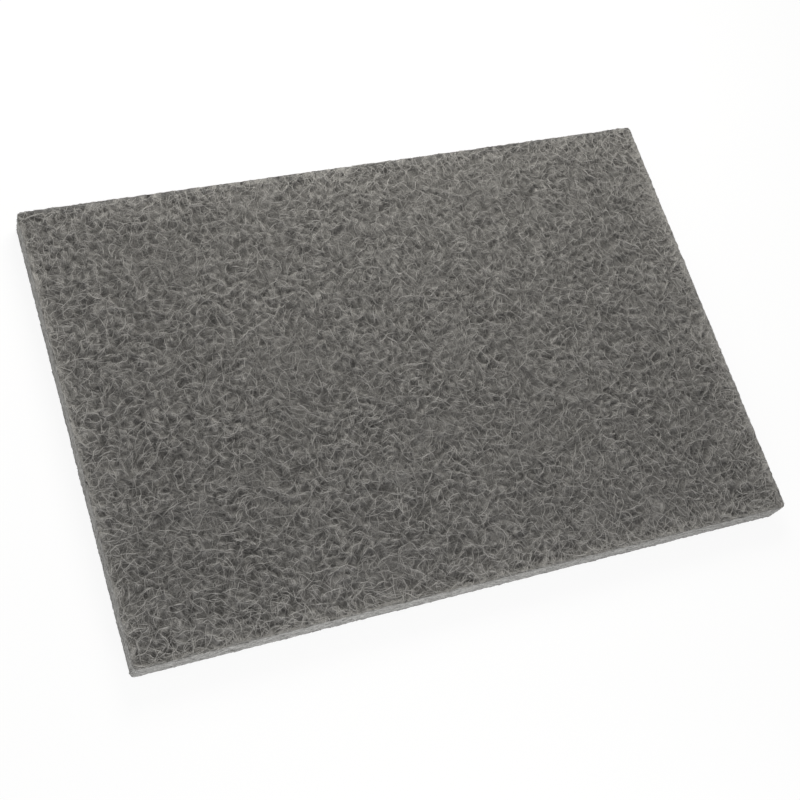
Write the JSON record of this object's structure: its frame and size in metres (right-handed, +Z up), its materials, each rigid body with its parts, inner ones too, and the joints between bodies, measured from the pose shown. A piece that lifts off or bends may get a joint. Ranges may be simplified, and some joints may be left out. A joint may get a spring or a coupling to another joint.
{
  "type": "abrasive hand pad",
  "caption": "Flat rectangular hand pad of grey lofty nonwoven abrasive web, with guillotined edges, for rubbing down and cleaning surfaces by hand.",
  "frame": {"origin": "middle of the lower face, on the surface that the pad lies on", "axes": "+X along the long edges, +Y along the short edges, +Z up through the loft"},
  "size_m": [0.227, 0.1536, 0.0095],
  "materials": {
    "bonded_web": "matt"
  },
  "bodies": {
    "root": {"hand_pad": "bonded_web"}
  },
  "joints": []
}
